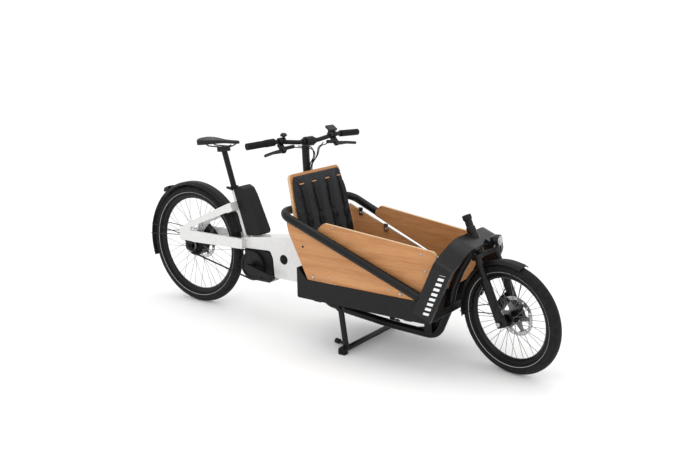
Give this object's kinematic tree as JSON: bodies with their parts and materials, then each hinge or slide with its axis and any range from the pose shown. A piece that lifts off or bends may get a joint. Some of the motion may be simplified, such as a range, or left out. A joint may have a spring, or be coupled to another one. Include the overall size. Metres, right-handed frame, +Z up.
{
  "type": "cargo bicycle",
  "caption": "Front-loading electric cargo bicycle with a low wooden box between a small steered front wheel and the rider, mid motor, frame battery and centre stand.",
  "frame": {"origin": "middle of the footprint, on the ground", "axes": "+X forward, towards the front wheel; +Y to the rider's left; +Z up"},
  "size_m": [2.5344, 0.6926, 1.0305],
  "materials": {
    "white_frame": "gloss white powder coat",
    "black_frame": "satin black powder coat",
    "black_alloy": "black anodised",
    "steel": "brushed steel",
    "silver": "bare aluminium",
    "tyre": "moulded tyre rubber",
    "rubber": "moulded rubber",
    "plastic": "textured black plastic",
    "gloss": "gloss black plastic",
    "tub": "satin black box tray",
    "wood": "clear coated light plywood",
    "pad": "dark coated fabric",
    "strap": "woven black webbing",
    "saddle": "black saddle cover",
    "lamp": "clear lens over a reflector",
    "red_lens": "red lens"
  },
  "bodies": {
    "frame": {"seat_tube": "white_frame", "main_beam": "white_frame", "beam_plugs": "rubber", "rear_stays": "white_frame", "rear_axle": "black_alloy", "seat_clamp": "black_alloy", "battery_rail": "plastic", "motor_housing": "plastic", "motor_covers": "gloss", "drive_belt": "rubber", "rear_fender": "plastic", "rear_fender_stays": "black_frame", "rear_light": "gloss", "rear_caliper": "black_alloy", "cargo_tub": "tub", "cargo_rail": "black_frame", "side_panel_right": "wood", "side_panel_left": "wood", "upper_side_panels": "wood", "back_panel": "wood", "back_pad": "pad", "harness_straps": "strap", "front_panel": "wood", "front_hoop": "black_frame", "panel_fixings": "steel", "lower_tube": "black_frame", "tub_supports": "black_frame", "column_housing": "black_frame", "headlight": "gloss"},
    "seat": {"seat_post": "black_alloy", "saddle": "saddle"},
    "battery": {"battery": "plastic"},
    "crank": {"crank_set": "black_alloy", "front_ring": "black_alloy"},
    "sprocket": {"rear_sprocket": "steel"},
    "rear_wheel": {"rear_tyre": "tyre", "rear_rim": "black_alloy", "rear_hub": "black_alloy", "rear_brake_disc": "steel"},
    "fork": {"fork_upper": "black_frame"},
    "fork_lowers": {"fork_lower": "black_frame", "front_axle": "steel", "front_fender": "plastic", "front_caliper": "black_alloy"},
    "front_wheel": {"front_tyre": "tyre", "front_rim": "black_alloy", "front_hub": "black_alloy", "front_brake_disc": "steel"},
    "kickstand": {"kickstand": "black_frame", "kickstand_feet": "rubber"},
    "steering": {"steering_column": "black_frame", "handlebar": "black_alloy", "grips": "rubber", "brake_perches": "black_alloy", "bell": "black_alloy", "display": "gloss", "control_hoses": "rubber"},
    "brake_right": {"brake_lever_right": "black_alloy"},
    "brake_left": {"brake_lever_left": "black_alloy"},
    "shifter": {"twist_shifter": "rubber"}
  },
  "joints": [
    {"name": "steer", "type": "hinge", "parent": "frame", "child": "steering", "pos_m": [-0.1162, 0.00177, 0.829], "axis": [-0.0499, 0, 0.9988], "range_deg": [-25.5, 50.5]},
    {"name": "fork_turn", "type": "hinge", "parent": "frame", "child": "fork", "pos_m": [0.97383, 0.00177, 0.24061], "axis": [-0.3907, 0, 0.9205], "range_deg": [-25.5, 50.5]},
    {"name": "suspension", "type": "slide", "parent": "fork", "child": "fork_lowers", "axis": [-0.3907, 0, 0.9205], "range_m": [0, 0.022], "stiffness_N_per_m": 9000, "springref_m": -0.05},
    {"name": "front_wheel_spin", "type": "hinge", "parent": "fork_lowers", "child": "front_wheel", "pos_m": [1.01382, -0.00786, 0.25759], "axis": [0.1992, 0.9763, 0.0846], "continuous": true},
    {"name": "rear_wheel_spin", "type": "hinge", "parent": "frame", "child": "rear_wheel", "pos_m": [-0.9132, 0.00177, 0.3345], "axis": [0, 1, 0], "continuous": true},
    {"name": "crank_spin", "type": "hinge", "parent": "frame", "child": "crank", "pos_m": [-0.4582, 0.00177, 0.285], "axis": [0, 1, 0], "continuous": true},
    {"name": "sprocket_spin", "type": "hinge", "parent": "frame", "child": "sprocket", "pos_m": [-0.9132, 0.00177, 0.3345], "axis": [0, 1, 0], "continuous": true},
    {"name": "seat_height", "type": "slide", "parent": "frame", "child": "seat", "axis": [-0.2987, 0, 0.9544], "range_m": [-0.11, 0.06]},
    {"name": "battery_release", "type": "slide", "parent": "frame", "child": "battery", "axis": [0.9544, 0, 0.2987], "range_m": [0, 0.15]},
    {"name": "kickstand_fold", "type": "hinge", "parent": "frame", "child": "kickstand", "pos_m": [0.2308, 0.00177, 0.222], "axis": [0, 1, 0], "range_deg": [0, 60]},
    {"name": "brake_pull_right", "type": "hinge", "parent": "steering", "child": "brake_right", "pos_m": [-0.11837, -0.17731, 0.93822], "axis": [-0.6524, 0.1527, -0.7423], "range_deg": [0, 16], "stiffness_Nm_per_rad": 0.8, "springref_deg": -8.59},
    {"name": "brake_pull_left", "type": "hinge", "parent": "steering", "child": "brake_left", "pos_m": [-0.04308, 0.16269, 0.94198], "axis": [0.6524, -0.1527, 0.7423], "range_deg": [0, 16], "stiffness_Nm_per_rad": 0.8, "springref_deg": -8.59},
    {"name": "shift_twist", "type": "hinge", "parent": "steering", "child": "shifter", "pos_m": [-0.15638, -0.21608, 0.97807], "axis": [-0.3269, -0.9431, -0.0618], "range_deg": [-40, 50]}
  ],
  "couplings": [
    {"joint": "fork_turn", "follows": "steer", "ratio": 1},
    {"joint": "sprocket_spin", "follows": "crank_spin", "ratio": 2.1111}
  ]
}
